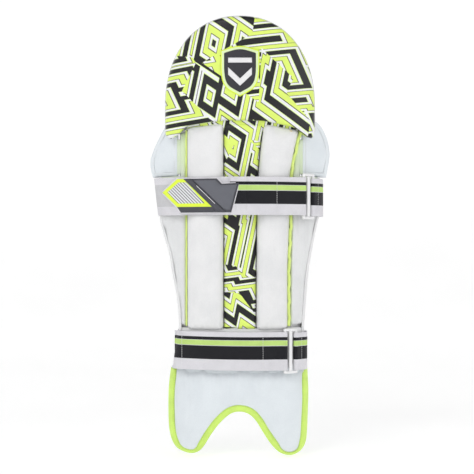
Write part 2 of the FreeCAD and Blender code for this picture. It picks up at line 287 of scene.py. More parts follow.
def binding(name, ring, surface, width, back, face, mat, thick=1.1, puff=0.5, keep=None):
    """Folded tape sewn over an edge: a flat U round the outline, or along the points in keep.
    width may be one number or one for each point of the ring."""
    normal = inward(ring)
    wide = np.broadcast_to(np.asarray(width, float), (len(ring),))
    mid = (back + face) / 2
    # Each corner: shift into the ring, share of the width, offset
    section = [(0, 1, face + 0.1), (-0.8, 1, face + thick), (0, 0.5, face + thick + puff * 0.4),
               (1.0, 0, face + thick * 0.8), (-0.9, 0, mid + (face - mid) * 0.6), (-1.2, 0, mid),
               (-0.9, 0, mid - (mid - back) * 0.6), (1.0, 0, back - thick * 0.8),
               (0, 0.5, back - thick - puff * 0.4), (-0.8, 1, back - thick), (0, 1, back - 0.1),
               (1.2, 0, back + 0.05), (0.4, 0, mid), (1.2, 0, face - 0.05)]
    rows = []
    for shift, share, t in section:
        row = ring + normal * (shift + share * wide)[:, None]
        if keep is not None:
            row = row[keep]
        rows.append(place(surface, row[:, 0], row[:, 1], t))
    return swept(name, rows, mat, loop=keep is None)


def open_binding(name, line, sign, surface, width, back, face, mat):
    """Edge tape along an open stretch of outline; sign is the x direction into the pad."""
    mid = (back + face) / 2
    section = [(width, face + 0.1), (width - 0.8, face + 1.0), (1.4, face + 1.2), (-0.6, face - 1.5),
               (-1.0, mid), (-0.6, back + 1.5), (1.4, back - 1.0), (width - 0.8, back - 0.8),
               (width, back - 0.1), (1.0, back + 0.6), (0.2, mid), (1.0, face - 0.6)]
    rows = [place(surface, line[:, 0] + sign * w, line[:, 1], t) for w, t in section]
    return swept(name, rows, mat)


def tube(name, points, radius, mat, sides=10):
    """Cord swept along points in metres, with flat ends."""
    along = np.gradient(points, axis=0)
    along /= np.maximum(np.linalg.norm(along, axis=1, keepdims=True), 1e-12)
    side = np.cross(along, [0, 1.0, 0])
    weak = np.linalg.norm(side, axis=1) < 0.2
    side[weak] = np.cross(along[weak], [1.0, 0, 0])
    side /= np.linalg.norm(side, axis=1, keepdims=True)
    up = np.cross(side, along)
    angles = [2 * math.pi * k / sides for k in range(sides)]
    return swept(name, [points + radius * (math.cos(a) * side + math.sin(a) * up) for a in angles], mat)


def stitches(name, paths, mat, length=2.6, gap=1.2, radius=0.35):
    """Rows of sewn thread: each stitch is a short bowed thread along its path, in metres."""
    verts, faces = [], []
    for path in paths:
        p = np.array(path, float)
        seg = np.linalg.norm(np.diff(p, axis=0), axis=1)
        far = np.concatenate([[0], np.cumsum(seg)])
        start = 0.0
        while start + length * MM < far[-1]:
            s = start + np.array([0, 0.15, 0.5, 0.85, 1]) * length * MM
            line = np.stack([np.interp(s, far, p[:, i]) for i in range(3)], axis=1)
            run = line[-1] - line[0]
            run /= max(np.linalg.norm(run), 1e-9)
            side = np.cross(run, [0, 1.0, 0])
            if np.linalg.norm(side) < 0.3:
                side = np.cross(run, [1.0, 0, 0])
            side /= np.linalg.norm(side)
            up = np.cross(side, run)
            base = len(verts)
            for i, q in enumerate(line):
                r = radius * MM * (0.35, 0.9, 1, 0.9, 0.35)[i]
                for k in range(5):
                    a = 2 * math.pi * k / 5
                    verts.append(q + r * (math.cos(a) * side + math.sin(a) * up))
            for i in range(4):
                for k in range(5):
                    j = (k + 1) % 5
                    faces.append([base + i * 5 + k, base + i * 5 + j, base + (i + 1) * 5 + j,
                                  base + (i + 1) * 5 + k])
            faces.append([base + k for k in range(5)][::-1])
            faces.append([base + 20 + k for k in range(5)])
            start += (length + gap) * MM
    return outward(make_mesh(name, np.array(verts), faces, [mat]))


def seam_path(surface, ring, t):
    line = np.concatenate([ring, ring[:1]])
    return place(surface, line[:, 0], line[:, 1], t)


def wave(x, z, seed, scale):
    """Smooth uneven ripple from a few fixed waves, about -1 to 1."""
    out = 0
    for k in range(5):
        a = seed * 1.7 + k * 2.399
        f = (0.7 + 0.45 * k) / scale
        out = out + np.sin(f * (x * math.cos(a) + z * math.sin(a)) * TURN + seed * 3 + k * 1.3) / (k + 1.5)
    return out * 0.62


# ---------------------------------------------------------------- materials

class Look:
    """A new material's nodes round one Principled shader, with a short call for each kind of node."""

    def __init__(self, name):
        self.mat = bpy.data.materials.new(name)
        self.mat.use_nodes = True
        self.nodes, self.links = self.mat.node_tree.nodes, self.mat.node_tree.links
        self.nodes.clear()
        out = self.nodes.new("ShaderNodeOutputMaterial")
        self.shader = self.nodes.new("ShaderNodeBsdfPrincipled")
        self.links.new(self.shader.outputs[0], out.inputs[0])

    def set(self, **values):
        """Fixed values on the shader's own sockets; an underscore stands for a space."""
        for socket, value in values.items():
            self.shader.inputs[socket.replace("_", " ")].default_value = value

    def colour(self, output):
        self.links.new(output, self.shader.inputs["Base Color"])

    def feed(self, socket, value):
        """Links an output to a socket, or sets a number or colour on it."""
        if isinstance(value, (int, float)):
            socket.default_value = value
        elif isinstance(value, tuple):
            socket.default_value = (*value, 1)
        else:
            self.links.new(value, socket)

    def coords(self, scale=(1, 1, 1), turn=(0, 0, 0)):
        """Object coordinates in metres, scaled and turned."""
        tex = self.nodes.new("ShaderNodeTexCoord")
        mapping = self.nodes.new("ShaderNodeMapping")
        mapping.inputs["Scale"].default_value = scale
        mapping.inputs["Rotation"].default_value = turn
        self.links.new(tex.outputs["Object"], mapping.inputs["Vector"])
        return mapping.outputs[0]

    def split(self, vector):
        node = self.nodes.new("ShaderNodeSeparateXYZ")
        self.links.new(vector, node.inputs[0])
        return node.outputs

    def noise(self, vector, scale, detail=4):
        node = self.nodes.new("ShaderNodeTexNoise")
        node.inputs["Scale"].default_value = scale
        node.inputs["Detail"].default_value = detail
        node.inputs["Roughness"].default_value = 0.55
        self.links.new(vector, node.inputs["Vector"])
        return node.outputs["Fac"]

    def math(self, operation, *values):
        node = self.nodes.new("ShaderNodeMath")
        node.operation = operation
        for socket, value in zip(node.inputs, values):
            self.feed(socket, value)
        return node.outputs[0]

    def ramp(self, fac, stops, mode="LINEAR"):
        """Colours or greys, given as (position, colour or grey)."""
        node = self.nodes.new("ShaderNodeValToRGB")
        node.color_ramp.interpolation = mode
        while len(node.color_ramp.elements) < len(stops):
            node.color_ramp.elements.new(0.5)
        for element, (position, value) in zip(node.color_ramp.elements, stops):
            element.position = position
            element.color = (*value, 1) if isinstance(value, tuple) else (value, value, value, 1)
        self.links.new(fac, node.inputs[0])
        return node.outputs[0]

    def mix(self, fac, a, b, blend="MIX"):
        node = self.nodes.new("ShaderNodeMix")
        node.data_type = "RGBA"
        node.blend_type = blend
        for socket, value in ((node.inputs["Factor"], fac), (node.inputs[6], a), (node.inputs[7], b)):
            self.feed(socket, value)
        return node.outputs[2]

    def bump(self, height, distance, strength, under=None):
        """Relief on the shader; under is a coarser bump that it lies on."""
        node = self.nodes.new("ShaderNodeBump")
        node.inputs["Distance"].default_value = distance
        node.inputs["Strength"].default_value = strength
        self.links.new(height, node.inputs["Height"])
        if under is not None:
            self.links.new(under, node.inputs["Normal"])
        self.links.new(node.outputs[0], self.shader.inputs["Normal"])
        return node.outputs[0]

    def grain(self, vector, scale):
        """Leather pebbles: the cell edges of a fine Voronoi."""
        node = self.nodes.new("ShaderNodeTexVoronoi")
        node.feature = "DISTANCE_TO_EDGE"
        node.inputs["Scale"].default_value = scale
        self.links.new(vector, node.inputs["Vector"])
        return self.ramp(node.outputs["Distance"], [(0, 0.0), (0.25, 1.0)])

    def weave(self, pitch):
        """Plain weave as a height: threads along x and z that pass over and under."""
        across = self.split(self.coords())
        waves = [self.math("ABSOLUTE", self.math("SINE", self.math("MULTIPLY", across[i], math.pi / pitch)))
                 for i in (0, 2)]
        return self.math("ADD", *waves)

    def nested_bands(self, scale, stretch, turn, period):
        """Nested bands round uneven cells, from 0 to 1 across each band group."""
        cells = self.nodes.new("ShaderNodeTexVoronoi")
        cells.distance = "MANHATTAN"
        cells.inputs["Scale"].default_value = scale
        self.links.new(self.coords(stretch, (0, math.radians(turn), 0)), cells.inputs["Vector"])
        return self.math("FRACT", self.math("DIVIDE", cells.outputs["Distance"], period))


LIME = (0.70, 0.98, 0.18)
PRINT_LIME = (0.74, 0.91, 0.17)
PALE_LIME = (0.80, 0.95, 0.45)
PIPING_LIME = (0.80, 0.98, 0.26)
PRINT_INK = (0.012, 0.012, 0.014)
PRINT_WHITE = (0.86, 0.87, 0.88)
PALE_BLUE = (0.74, 0.79, 0.825)
# Painted shade with a painted lime reflection, for the recesses beside the lime seams
SHADED_LIME_GLOW = (0.66, 0.78, 0.52)
STRAP_WHITE = (0.80, 0.79, 0.83)
STRAP_GREY = (0.66, 0.66, 0.68)
STRAP_LIME = (0.60, 0.84, 0.24)
STRAP_BLACK = (0.012, 0.012, 0.016)
# Each stripe's colour and width in mm, from the strap's lower edge up
STRAP_STRIPES = [(STRAP_WHITE, 17.5), (STRAP_BLACK, 21), (STRAP_WHITE, 0.8), (STRAP_LIME, 8),
                 (STRAP_WHITE, 0.5), (STRAP_BLACK, 5), (STRAP_WHITE, 8)]
LANDING_STRIPES = [(STRAP_WHITE, 14), (STRAP_GREY, 36), (STRAP_WHITE, 11)]
# Where each nested band of the print begins
PRINT_BANDS = [(0, PRINT_INK), (0.33, PALE_LIME), (0.37, PRINT_WHITE), (0.49, PRINT_INK),
               (0.525, PRINT_LIME), (0.80, PRINT_INK), (0.835, PRINT_WHITE), (0.955, PALE_LIME)]


def pu(name, colour, hollow_shade=(0.72, 0.74, 0.76), crease=0.0012, lime_glow=None):
    """Coated leather-like skin: pebble grain, soft creases and a little grey in soft noise patches, painted
    shade standing for hollows.
    Its fifth argument is painted light: a lime reflection, with painted shade, on the part above the upper
    strap, where the lime seams are close by."""
    look = Look(name)
    v = look.coords()
    soft = look.noise(v, 26, 5)
    # Painted shade: grey mixed in where the soft noise is low
    tone = look.mix(0.45, colour, look.ramp(soft, [(0.35, hollow_shade), (0.6, colour)]))
    if lime_glow is not None:
        # Painted lime reflection and shade: mixed in from z 0.42 m, in full above z 0.47 m
        height = look.ramp(look.split(v)[2], [(0.42, 0.0), (0.47, 1.0)])
        tone = look.mix(height, tone, lime_glow)
    specks = look.ramp(look.noise(v, 700, 2), [(0.3, 0.4), (0.7, 1.0)])
    look.colour(look.mix(0.06, tone, specks))
    look.links.new(look.math("MULTIPLY_ADD", soft, 0.25, 0.32), look.shader.inputs["Roughness"])
    creases = look.bump(look.noise(look.coords((1, 1, 0.35)), 60, 5), crease, 0.7)
    look.bump(look.grain(v, 900), 0.00012, 0.5, creases)
    look.set(Coat_Weight=0.08, Coat_Roughness=0.35)
    return look.mat


def fabric(name, colour, pitch, roughness=0.8, vary=0.12):
    """Woven cloth: threads, slight colour variation and a soft sheen."""
    look = Look(name)
    v = look.coords()
    dark = tuple(c * (1 - vary) for c in colour)
    tone = look.ramp(look.noise(v, 45), [(0.35, dark), (0.65, colour)])
    threads = look.weave(pitch)
    shade = look.ramp(look.math("MULTIPLY", threads, 0.5), [(0.15, 0.62), (0.6, 1.0)])
    look.colour(look.mix(0.6, tone, shade, "MULTIPLY"))
    look.set(Roughness=roughness, Sheen_Weight=0.25, Sheen_Roughness=0.5)
    soft = look.bump(look.noise(v, 120), 0.0005, 0.5)
    look.bump(threads, 0.00018, 0.7, soft)
    return look.mat


def striped(name, stripes):
    """Woven strap with stripes across its width, read from the strap's own map (metres, 0 to 1)."""
    look = Look(name)
    tex = look.nodes.new("ShaderNodeTexCoord")
    length, width = look.split(tex.outputs["UV"])[:2]
    total = sum(w for _, w in stripes)
    starts = np.cumsum([0] + [w for _, w in stripes[:-1]]) / total
    base = look.ramp(width, [(float(s), colour) for s, (colour, _) in zip(starts, stripes)], "CONSTANT")
    along = look.math("MULTIPLY", length, TURN / 0.0019)
    across = look.math("MULTIPLY", width, TURN * 26)
    twill = look.math("SINE", look.math("ADD", along, across))
    picks = look.math("SINE", look.math("SUBTRACT", along, across))
    height = look.math("MAXIMUM", twill, look.math("MULTIPLY", picks, 0.7))
    # Painted shade: the low threads of the weave are darker
    tone = look.mix(0.7, base, look.ramp(height, [(0.0, 0.74), (0.7, 1.0)]), "MULTIPLY")
    soft = look.noise(look.coords(), 38)
    worn = look.ramp(soft, [(0.35, 0.90), (0.65, 1.0)])
    look.colour(look.mix(0.8, tone, worn, "MULTIPLY"))
    look.set(Roughness=0.75, Sheen_Weight=0.06, Specular_IOR_Level=0.25)
    look.bump(height, 0.00025, 0.8, look.bump(soft, 0.0008, 0.5))
    return look.mat


def printed(name, scale):
    """PU with a generic print of nested slanted zigzag bands in black, lime and white."""
    look = Look(name)
    period = 0.33
    first = look.nested_bands(scale, (1, 0, 0.55), 24, period)
    other = look.nested_bands(scale, (0.6, 0, 1.1), -31, period)
    pick = look.nodes.new("ShaderNodeTexVoronoi")
    pick.inputs["Scale"].default_value = 13.0
    look.links.new(look.coords((1, 0, 1)), pick.inputs["Vector"])
    chosen = look.math("GREATER_THAN", pick.outputs["Color"], 0.5)
    rest = look.math("MULTIPLY", other, look.math("SUBTRACT", 1.0, chosen))
    bands = look.math("ADD", look.math("MULTIPLY", first, chosen), rest)
    base = look.ramp(bands, PRINT_BANDS, "CONSTANT")
    worn = look.ramp(look.noise(look.coords(), 30), [(0.3, 0.6), (0.7, 1.0)])
    look.colour(look.mix(0.18, base, worn, "MULTIPLY"))
    creases = look.bump(look.noise(look.coords(), 55, 5), 0.0008, 0.6)
    look.bump(look.grain(look.coords(), 900), 0.0001, 0.5, creases)
    look.set(Roughness=0.3, Coat_Weight=0.03, Specular_IOR_Level=0.3)
    return look.mat


def plastic(name, colour, roughness):
    look = Look(name)
    v = look.coords()
    dark = tuple(c * 0.93 for c in colour)
    look.colour(look.ramp(look.noise(v, 80, 3), [(0.3, dark), (0.7, colour)]))
    look.set(Roughness=roughness, Subsurface_Weight=0.15, Subsurface_Radius=(0.004, 0.004, 0.004))
    look.bump(look.noise(v, 900, 3), 0.00005, 0.5)
    return look.mat


def hatched(name, dark, light):
    """Moulded rubber with fine slanted ribs."""
    look = Look(name)
    pitch = 0.0052
    axes = look.split(look.coords())
    across = look.math("ADD", axes[0], axes[2])
    rib = look.math("SINE", look.math("MULTIPLY", across, TURN / pitch))
    look.colour(look.ramp(rib, [(0.0, light), (0.5, light), (0.62, dark)]))
    look.set(Roughness=0.5)
    look.bump(rib, 0.0002, 0.7)
    return look.mat


def foam(name, colour):
    look = Look(name)
    cells = look.grain(look.coords(), 450)
    look.colour(look.mix(0.3, colour, cells, "MULTIPLY"))
    look.set(Roughness=0.9)
    look.bump(cells, 0.0004, 0.8)
    return look.mat


def cane(name):
    look = Look(name)
    v = look.coords((1, 1, 0.03))
    look.colour(look.ramp(look.noise(v, 400, 5), [(0.3, (0.50, 0.36, 0.17)), (0.7, (0.78, 0.64, 0.38))]))
    look.set(Roughness=0.45)
    look.bump(look.noise(v, 700), 0.0003, 0.7)
    return look.mat


# The first group is named after the CAD's material slots
M = {
    "white_pu": pu("white_pu", (0.785, 0.785, 0.79), (0.66, 0.67, 0.68)),
    "pale_pu": pu("pale_pu", PALE_BLUE, (0.66, 0.71, 0.75)),
    "print": printed("print", 10.5),
    "lime_trim": fabric("lime_trim", LIME, 0.0009, 0.6),
    "white_trim": fabric("white_trim", (0.84, 0.85, 0.86), 0.0009),
    "white_webbing": fabric("white_webbing", (0.82, 0.81, 0.85), 0.0012),
    "hook_loop": fabric("hook_loop", (0.78, 0.78, 0.80), 0.0006),
    "webbing": striped("webbing", STRAP_STRIPES),
    "ring_plastic": plastic("ring_plastic", (0.83, 0.83, 0.84), 0.25),
    "lining": fabric("lining", (0.80, 0.82, 0.84), 0.0018, 0.8, 0.05),
    # green_recess: the PU in painted shade with a painted lime reflection, for the recesses by the wings
    "green_recess": pu("green_recess", SHADED_LIME_GLOW),
    "foam": foam("foam", (0.88, 0.86, 0.78)),
    "cane": cane("cane"),
    "badge_rubber": plastic("badge_grey", (0.12, 0.125, 0.148), 0.45),

    # The side panels: a darker copy of the white PU, painted shade where they turn away from the light, with
    # the painted lime reflection above the upper strap
    "shaded_panel_pu": pu("shaded_panel_pu", (0.74, 0.75, 0.755), (0.64, 0.65, 0.66), 0.002, SHADED_LIME_GLOW),
    "strip_print": printed("strip_print", 12.5),
    "piping": fabric("piping", PIPING_LIME, 0.0009, 0.6),
    "landing_band": striped("landing_band", LANDING_STRIPES),
    "thread": fabric("thread", (0.90, 0.90, 0.91), 0.0005),
    "lime_thread": fabric("lime_thread", (0.55, 0.80, 0.12), 0.0005),
    "badge_hatch": hatched("badge_hatch", (0.10, 0.10, 0.11), (0.74, 0.75, 0.77)),
    "badge_dark": plastic("badge_dark", (0.055, 0.056, 0.07), 0.45),
    "badge_lime": plastic("badge_lime", (0.78, 0.98, 0.05), 0.4),
    "badge_white": plastic("badge_white", (0.80, 0.80, 0.81), 0.4),
    "shield_pale": plastic("shield_pale", (0.74, 0.88, 0.50), 0.4),
    "shield_ink": plastic("shield_ink", (0.018, 0.018, 0.026), 0.45),
}


def carried_over():
    """Every CAD node keeps its shape and takes the material of its slot."""
    for row in frame["record"]["subparts"]:
        obj = frame["nodes"][row["node"]]
        obj.data.materials.clear()
        obj.data.materials.append(M[row["material_slot"]])


def settle(obj, body, nodes=()):
    """Lets a visible piece ride on its body and the CAD nodes that it stands for."""
    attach(obj, body)
    if nodes:
        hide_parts(*nodes)


# ---------------------------------------------------------------- front of the shin

def bolster_ring(side):
    if side == "left":
        return rounded([(-85.3, 198.5), (-26.2, 198.5), (-26.2, 530.5), (-85.3, 524.5)], 8)
    outer = [(77.5, 198.5), (77.2, 300), (80.3, 380), (80.8, 450), (88.3, 490), (96, 520)]
    inner = [(38.3, 530), (32.7, 490), (29.2, 450), (27.2, 380), (26.1, 300), (26.1, 198.5)]
    return rounded(outer + inner, 8)


def bolster_relief(seed, x_mid):
    """Puckers that run in from both ends, shallow creases and a soft dent under the strap."""
    def relief(x, z):
        head = np.exp(-np.clip(524 - z, 0, 400) / 12.0)
        foot = np.exp(-np.clip(z - 203, 0, 400) / 10.0)
        pleat = np.sin((x - x_mid) * 0.62 + seed) + 0.5 * np.sin((x - x_mid) * 1.13 + 2 * seed)
        strap = np.exp(-((z - 413) / 26.0) ** 4)
        under_hat = 3.4 * np.clip((z - 498) / 20.0, 0, 1)
        puckers = pleat * (0.7 * head + 0.8 * foot) * 1.3
        return puckers - under_hat - 1.4 * strap + 0.35 * wave(x * 2.2, z * 0.7, seed, 40)
    return relief


def make_bolsters():
    skin = M["white_pu"]
    for side, mid, seed in (("left", -55, 1.0), ("right", 57, 2.3)):
        obj = pillow(side + "_bolster", bolster_ring(side), SHIN, ON_BOARD, 31.2, 10.0, skin, skin, 4.0,
                     29.0, 2.7, bolster_relief(seed, mid))
        settle(obj, "shin", [side + "_bolster_cover", side + "_bolster_front_foam"])


def make_centre_strip():
    ring = rounded([(-25.8, 200), (25.8, 200), (25.8, 300), (26.8, 380), (28.8, 450), (32.2, 490),
                    (38, 530), (-25.8, 530)], 4)
    obj = pillow("centre_strip", ring, SHIN, ON_BOARD, 20.7, 10, M["strip_print"], M["white_pu"],
                 4.0, 9.0, 2.6, lambda x, z: 0.4 * wave(x, z, 4, 45))
    settle(obj, "shin", ["centre_strip_cover"])


# The shin's outer edges, from the ankle seam up to the wings
LEFT_EDGE = [(-104, 139), (-99, 200), (-102, 247), (-110, 290), (-115, 320), (-125, 355),
             (-131.5, 383), (-132, 446)]
RIGHT_EDGE = [(106, 139), (104, 190), (107, 240), (112, 295), (120, 340), (127, 372),
              (129.7, 390), (130, 446)]


def panel_relief(sign):
    """Long upright folds that fan out towards the pad's edge."""
    def relief(x, z):
        across = x * sign
        fold = np.sin(across * 0.42 + 0.012 * z) + 0.6 * np.sin(across * 0.81 - 0.02 * z + 1.3)
        calm = np.clip((z - 205) / 40.0, 0.2, 1) * np.where(z > 446, 0.15, 1)
        thin = np.clip((z - 446) / 30.0, 0, 1)
        return 0.75 * fold * calm + 0.5 * wave(x, z * 0.6, 5 + sign, 38) * calm - 4.6 * thin
    return relief


def make_side_panels():
    # The panels' skin is the white PU with painted shade
    skin = M["shaded_panel_pu"]
    inner_edges = {"left": [(-96.4, 447), (-96.4, 516), (-87.6, 516), (-87.6, 203.5)],
                   "right": [(96.8, 447), (97.4, 505), (91.6, 490), (84.5, 450), (83.9, 380),
                             (80.9, 300), (80.9, 203.5)]}
    for side, sign, edge in (("left", -1, LEFT_EDGE), ("right", 1, RIGHT_EDGE)):
        outer = smooth([(x - sign * 1.2, z) for x, z in edge if z >= 190], 4, False)
        ring = np.concatenate([outer, inner_edges[side]])
        ring = resample(ring[ring[:, 1] >= 203.4], 3.0)
        obj = pillow(side + "_side_panel", ring, SHIN, ON_BOARD, 17.2, 10.5, skin, skin, 3.5, 6.0, 2.4,
                     panel_relief(sign))
        settle(obj, "shin", [side + "_side_panel_cover", side + "_side_panel_foam"])


def make_ankle_panel():
    ring = resample([(104.5, 134.5), (102.5, 202), (-98, 202), (-102.5, 134.5)], 3.0)
    skin = M["white_pu"]
    obj = pillow("ankle_panel", ring, SHIN, ON_BOARD, 17.0, 10, skin, skin, 5.0, 6.0)
    settle(obj, "shin", ["ankle_panel_cover", "ankle_panel_foam"])


def make_piping():
    """A narrow cord half sunk in the left seam and a fuller, puckered one in the right seam."""
    left = [(-86.5, 204), (-86.5, 300), (-86.5, 420), (-86.5, 520)]
    right = [(79.1, 204), (79.1, 300), (82.3, 380), (83.2, 450), (90.7, 490), (97.6, 518)]
    for side, pts, radius, t, pucker in (("left", left, 0.0015, 16.6, 0.15),
                                         ("right", right, 0.0026, 17.8, 0.6)):
        line = smooth(pts, 3, False)
        line[:, 0] += pucker * (np.sin(line[:, 1] * 0.21) + 0.6 * np.sin(line[:, 1] * 0.47))
        obj = tube(side + "_piping_cord", place(SHIN, line[:, 0], line[:, 1], t), radius, M["piping"])
        settle(obj, "shin", [side + "_piping"])
        skirt = np.concatenate([line + [-1.0, 0], (line + [1.0, 0])[::-1]])
        web = pillow(side + "_piping_web", skirt, SHIN, 9.4, t, 12, M["piping"], M["piping"], 4, 0.7)
        settle(web, "shin")


def shin_ring():
    right = smooth(RIGHT_EDGE, 4, False)
    left = smooth(LEFT_EDGE[::-1], 4, False)
    knee = np.array([(98, 446.5), (98, 523), (-98, 523), (-98, 446.5)])
    return resample(np.concatenate([right, knee, left]), 3.5)


def make_shin_edge():
    for side, edge, sign in (("right", RIGHT_EDGE, -1), ("left", LEFT_EDGE, 1)):
        line = smooth(edge, 3, False)
        strip = open_binding(side + "_shin_binding", line, sign, SHIN, 4.2, -0.4, 16.8, M["white_pu"])
        settle(strip, "shin", ["shin_edge_binding"] if side == "right" else [])


def make_shin_lining():
    """The leg's side: a quilted lining over the board foam."""
    def quilt(x, z):
        groove = np.abs(np.sin(x * math.pi / 24.0)) ** 0.5
        return 0.9 - 1.1 * groove + 0.3 * wave(x, z, 7, 60)
    obj = pillow("shin_lining_quilt", shin_ring(), SHIN, -0.6, 9.0, 4.0, M["white_pu"], M["lining"],
                 4.0, 4.0, back_relief=quilt)
    settle(obj, "shin", ["shin_lining", "shin_board_foam"])


def make_inner_padding():
    """The upright bolsters against the shin and the three rolls of the knee cup."""
    lining = M["lining"]
    for name, x0, x1 in (("left", -76, -30), ("centre", -21.5, 21.5), ("right", 30, 76)):
        ring = rounded(box(x0, x1, 206, 372), 12)
        obj = pillow("inner_%s_bolster" % name, ring, SHIN, *INNER, lining, lining, 4.0, 22.0,
                     2.2, back_relief=lambda x, z: 0.5 * wave(x, z * 0.6, 9, 35))
        settle(obj, "shin", ["inner_%s_bolster_cover" % name])
    for name, z in (("lower", 392), ("middle", 434), ("upper", 476)):
        ring = rounded(box(-88, 88, z, z + 38), 12)
        obj = pillow("knee_roll_" + name, ring, SHIN, *INNER, lining, lining, 4.0, 19.0,
                     2.2, back_relief=lambda x, z: 0.5 * wave(x * 0.6, z, 11, 35))
        settle(obj, "shin", ["knee_roll_%s_cover" % name])
    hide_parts("inner_bolster_foams")
    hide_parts("knee_roll_foams")


# ---------------------------------------------------------------- top hat

def dome_head():
    """The top hat's upper edge, from its right side over the top to its left side."""
    half, centre_z, rise, power = 121, 560, 140.5, 2 / 2.2
    head = []
    for i in range(61):
        a = math.pi * i / 60
        x = math.copysign(abs(math.cos(a)) ** power, math.cos(a)) * half
        head.append((x, centre_z + rise * max(math.sin(a), 0) ** power))
    return [(half, 518)] + head + [(-half, 518)]


def dome_ring():
    """The whole top hat; its lower edge follows the heads of the bolsters."""
    lower = [(-119.5, 511), (-115, 507), (-110, 506.5), (-98, 513), (-88, 524), (-82, 526.8),
             (-30, 533.2), (-24, 533.8), (36, 533.4), (44, 532.2), (84, 524.6), (93, 521),
             (100, 513.5), (107, 509.5), (115, 507.5), (119.5, 511)]
    return resample(dome_head() + lower, 3.0)


def make_top_hat():
    obj = pillow("top_hat_face", dome_ring(), TOP_HAT, 2.2, 16.2, 8.5, M["print"], M["lining"],
                 4.0, 8.0, 2.3,
                 lambda x, z: 0.8 * wave(x, z, 3, 70) + 0.25 * wave(x, z, 6, 24),
                 lambda x, z: 0.5 * wave(x, z, 8, 60))
    settle(obj, "top_hat", ["top_hat_cover", "top_hat_lining", "top_hat_foam"])
    head = resample(dome_head(), 3.0, closed=False)
    rim = tube("top_hat_piping", place(TOP_HAT, head[:, 0], head[:, 1], 8.5), 0.0011, M["white_trim"])
    settle(rim, "top_hat", ["top_hat_rim"])
    make_shield()


def make_shield():
    """A plain shield-shaped rubber badge with a lime border, one chevron and a bar."""
    outline = [(0, 571), (22, 585), (30, 605), (31, 645), (0, 652), (-31, 645), (-30, 605), (-22, 585)]
    chevron = [(0, 588), (19, 606), (19, 618), (0, 600), (-19, 618), (-19, 606)]
    ring = smooth(outline, 2.5, True, (0, 3, 5))
    lime, pale, ink, white = M["badge_lime"], M["shield_pale"], M["shield_ink"], M["badge_white"]
    base = pillow("shield_base", ring, TOP_HAT, 15.5, 18.0, 16.8, lime, ink, 3.0, 1.5)
    settle(base, "top_hat", ["top_hat_badge"])
    for name, outline, back, face, edge, mat, spacing in (
            ("border", ring + inward(ring) * 1.6, 16.8, 18.4, 17.8, pale, 3.0),
            ("face", ring + inward(ring) * 5.4, 17.6, 18.9, 18.3, ink, 3.0),
            ("chevron", resample(chevron, 2.5), 18.0, 19.6, 18.9, white, 2.5),
            ("bar", resample(box(-19, 19, 625, 633), 2.5), 18.0, 19.6, 18.9, white, 2.5)):
        layer = pillow("shield_" + name, outline, TOP_HAT, back, face, edge, mat, mat, spacing, 1.2)
        settle(layer, "top_hat")


# ---------------------------------------------------------------- wings and instep

def make_wings():
    outlines = {
        "left": [(-101, 447.2), (-143.5, 447.2), (-147.3, 463), (-146.8, 476), (-142, 490),
                 (-135, 504), (-125, 522), (-114, 537), (-101, 540.5)],
        "right": [(101, 447.2), (142, 447.2), (146, 468), (147.8, 488), (142.5, 511), (131, 530), (116, 539),
                  (101, 540.5)]}
    for side, outline in outlines.items():
        ring = smooth(outline, 3, True, (0, 1, len(outline) - 1))
        obj = pillow(side + "_wing", ring, SHIN, -0.1, 10.5, 5.0, M["pale_pu"], M["lining"], 3.5, 6.0, 2.4,
                     lambda x, z: 0.5 * wave(x, z, 12, 40))
        settle(obj, side + "_wing", [side + "_wing_face"])
        tape = binding(side + "_wing_tape", ring, SHIN, 6.5, 0.4, 10.3, M["pale_pu"], 0.5, 0.3)
        settle(tape, side + "_wing", [side + "_wing_binding"])
        seams = [seam_path(SHIN, ring + inward(ring) * 5.4, 10.9)]
        settle(stitches(side + "_wing_stitches", seams, M["thread"]), side + "_wing")


INSTEP_TOP = 136.5      # the ankle seam


def instep_ring():
    outline = [(110, INSTEP_TOP), (111, 99), (109.3, 60), (106.3, 23), (100, 9), (90, 2), (78, 0.2),
               (63, 5.5), (50, 18.5), (38, 36), (27, 53.5), (15, 65), (0, 69.3), (-16, 65.5), (-33, 51),
               (-47, 33), (-58, 15.5), (-67, 6.5), (-79, 3.2), (-95, 6.8), (-105, 14), (-112, 29),
               (-115.2, 52), (-116, 99), (-112.3, INSTEP_TOP)]
    return smooth(outline, 3, True, (0, len(outline) - 1))


def instep_folds(x, z):
    """Gathers under the ankle seam that run out towards the lobes, and a hollow above the notch."""
    near = np.exp(-np.clip(131 - z, 0, 200) / 22.0)
    gather = 1.3 * np.sin(x * 0.19 + 0.6) + 0.8 * np.sin(x * 0.43 + 2)
    hollow_shade = np.exp(-((x - 28) / 9.0) ** 2) + np.exp(-((x + 30) / 11.0) ** 2)
    return near * (gather - 1.6 * hollow_shade) + 0.8 * wave(x, z, 14, 60)


def make_instep():
    ring = instep_ring()
    obj = pillow("instep_panel", ring, INSTEP, -0.2, 10.6, 5.0, M["pale_pu"], M["lining"], 3.5, 7.0, 2.4,
                 instep_folds)
    settle(obj, "instep", ["instep_face", "instep_lining"])
    width = 9.8 - 5.4 * np.exp(-(ring[:, 1] / 9.0) ** 2)
    keep = np.flatnonzero(ring[:, 1] < INSTEP_TOP - 0.01)
    tape = binding("instep_tape", ring, INSTEP, width, 0.2, 10.6, M["lime_trim"], 0.9, 1.2, keep)
    settle(tape, "instep", ["instep_binding"])
    line = (ring + inward(ring) * (width - 1.4)[:, None])[keep]
    seams = [place(INSTEP, line[:, 0], line[:, 1], 11.9)]
    settle(stitches("instep_stitches", seams, M["lime_thread"]), "instep")
